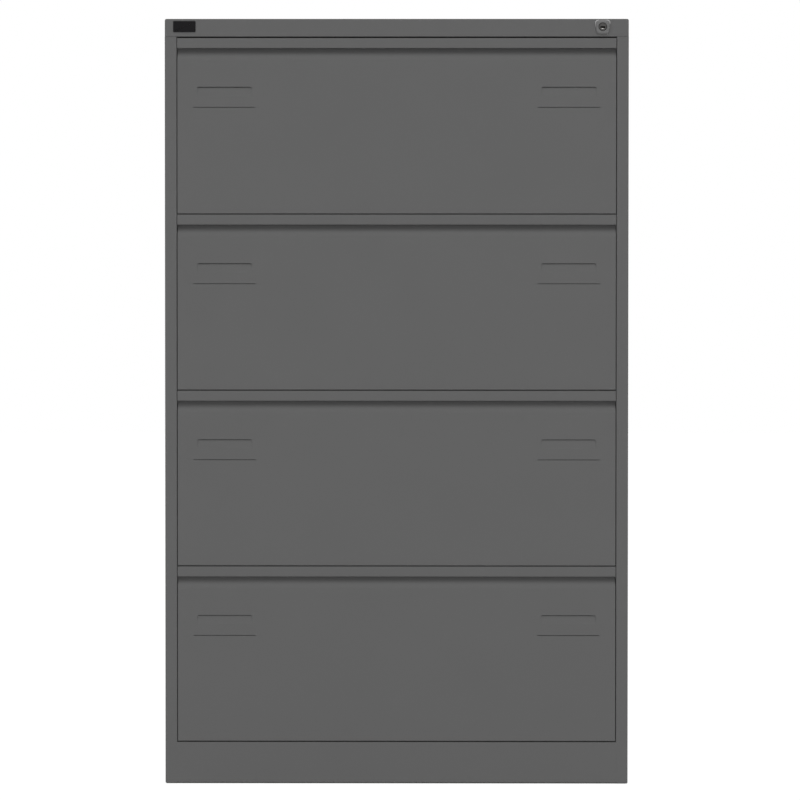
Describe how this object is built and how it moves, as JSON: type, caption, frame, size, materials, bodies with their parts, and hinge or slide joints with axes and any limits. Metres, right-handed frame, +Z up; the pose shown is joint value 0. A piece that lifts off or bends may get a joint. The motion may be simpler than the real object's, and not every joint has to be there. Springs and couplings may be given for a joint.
{
  "type": "filing cabinet",
  "caption": "Free-standing steel filing cabinet with full-width pull-out drawers for two side-by-side rows of hanging files, lip pulls, label pockets and a central lock.",
  "frame": {"origin": "on the floor under the middle of the case", "axes": "+Z up, -Y the way the drawers open, +X to the right seen from the front"},
  "size_m": [0.8, 0.6266, 1.321],
  "materials": {
    "powder_coat": "satin grey powder coat on sheet steel",
    "slide_zinc": "bright zinc plate",
    "lock_bar_zinc": "zinc plate",
    "lock_face": "grey enamel on die-cast zinc",
    "lock_nickel": "nickel plate",
    "glide_nylon": "moulded black nylon",
    "badge_enamel": "bare black enamel plate"
  },
  "bodies": {
    "carcass": {"top_panel": "powder_coat", "side_panel_left": "powder_coat", "side_panel_right": "powder_coat", "back_panel": "powder_coat", "base_panel": "powder_coat", "plinth_panel": "powder_coat", "upright_front_left": "powder_coat", "upright_rear_left": "powder_coat", "upright_front_right": "powder_coat", "upright_rear_right": "powder_coat", "glide_front_left": "glide_nylon", "glide_rear_left": "glide_nylon", "glide_front_right": "glide_nylon", "glide_rear_right": "glide_nylon", "lock_housing": "lock_face", "lock_nut": "lock_bar_zinc", "badge_plate": "badge_enamel", "slide_1_left_outer": "slide_zinc", "slide_1_right_outer": "slide_zinc", "slide_2_left_outer": "slide_zinc", "slide_2_right_outer": "slide_zinc", "slide_3_left_outer": "slide_zinc", "slide_3_right_outer": "slide_zinc", "slide_4_left_outer": "slide_zinc", "slide_4_right_outer": "slide_zinc"},
    "lock_barrel": {"lock_barrel": "lock_nickel", "lock_cam": "lock_bar_zinc"},
    "lock_bar": {"lock_bar": "lock_bar_zinc"},
    "drawer_1": {"drawer_1_front": "powder_coat", "drawer_1_liner": "powder_coat", "drawer_1_tray": "powder_coat", "drawer_1_back_rail": "powder_coat", "slide_1_left_inner": "slide_zinc", "slide_1_right_inner": "slide_zinc"},
    "drawer_1_slides": {"slide_1_left_middle": "slide_zinc", "slide_1_right_middle": "slide_zinc"},
    "drawer_2": {"drawer_2_front": "powder_coat", "drawer_2_liner": "powder_coat", "drawer_2_tray": "powder_coat", "drawer_2_back_rail": "powder_coat", "slide_2_left_inner": "slide_zinc", "slide_2_right_inner": "slide_zinc"},
    "drawer_2_slides": {"slide_2_left_middle": "slide_zinc", "slide_2_right_middle": "slide_zinc"},
    "drawer_3": {"drawer_3_front": "powder_coat", "drawer_3_liner": "powder_coat", "drawer_3_tray": "powder_coat", "drawer_3_back_rail": "powder_coat", "slide_3_left_inner": "slide_zinc", "slide_3_right_inner": "slide_zinc"},
    "drawer_3_slides": {"slide_3_left_middle": "slide_zinc", "slide_3_right_middle": "slide_zinc"},
    "drawer_4": {"drawer_4_front": "powder_coat", "drawer_4_liner": "powder_coat", "drawer_4_tray": "powder_coat", "drawer_4_back_rail": "powder_coat", "slide_4_left_inner": "slide_zinc", "slide_4_right_inner": "slide_zinc"},
    "drawer_4_slides": {"slide_4_left_middle": "slide_zinc", "slide_4_right_middle": "slide_zinc"}
  },
  "joints": [
    {"name": "lock_turn", "type": "hinge", "parent": "carcass", "child": "lock_barrel", "pos_m": [0.3548, -0.311, 1.3068], "axis": [0, -1, 0], "range_deg": [0, 90]},
    {"name": "lock_bar_lift", "type": "slide", "parent": "carcass", "child": "lock_bar", "axis": [0, 0, 1], "range_m": [0, 0.01131]},
    {"name": "drawer_1_open", "type": "slide", "parent": "carcass", "child": "drawer_1", "axis": [0, -1, 0], "range_m": [0, 0.55]},
    {"name": "drawer_1_slides_run", "type": "slide", "parent": "carcass", "child": "drawer_1_slides", "axis": [0, -1, 0], "range_m": [0, 0.275]},
    {"name": "drawer_2_open", "type": "slide", "parent": "carcass", "child": "drawer_2", "axis": [0, -1, 0], "range_m": [0, 0.55]},
    {"name": "drawer_2_slides_run", "type": "slide", "parent": "carcass", "child": "drawer_2_slides", "axis": [0, -1, 0], "range_m": [0, 0.275]},
    {"name": "drawer_3_open", "type": "slide", "parent": "carcass", "child": "drawer_3", "axis": [0, -1, 0], "range_m": [0, 0.55]},
    {"name": "drawer_3_slides_run", "type": "slide", "parent": "carcass", "child": "drawer_3_slides", "axis": [0, -1, 0], "range_m": [0, 0.275]},
    {"name": "drawer_4_open", "type": "slide", "parent": "carcass", "child": "drawer_4", "axis": [0, -1, 0], "range_m": [0, 0.55]},
    {"name": "drawer_4_slides_run", "type": "slide", "parent": "carcass", "child": "drawer_4_slides", "axis": [0, -1, 0], "range_m": [0, 0.275]}
  ],
  "couplings": [
    {"joint": "lock_turn", "follows": "lock_bar_lift", "rad_per_m": 138.8},
    {"joint": "drawer_1_slides_run", "follows": "drawer_1_open", "ratio": 0.5},
    {"joint": "drawer_2_slides_run", "follows": "drawer_2_open", "ratio": 0.5},
    {"joint": "drawer_3_slides_run", "follows": "drawer_3_open", "ratio": 0.5},
    {"joint": "drawer_4_slides_run", "follows": "drawer_4_open", "ratio": 0.5}
  ]
}
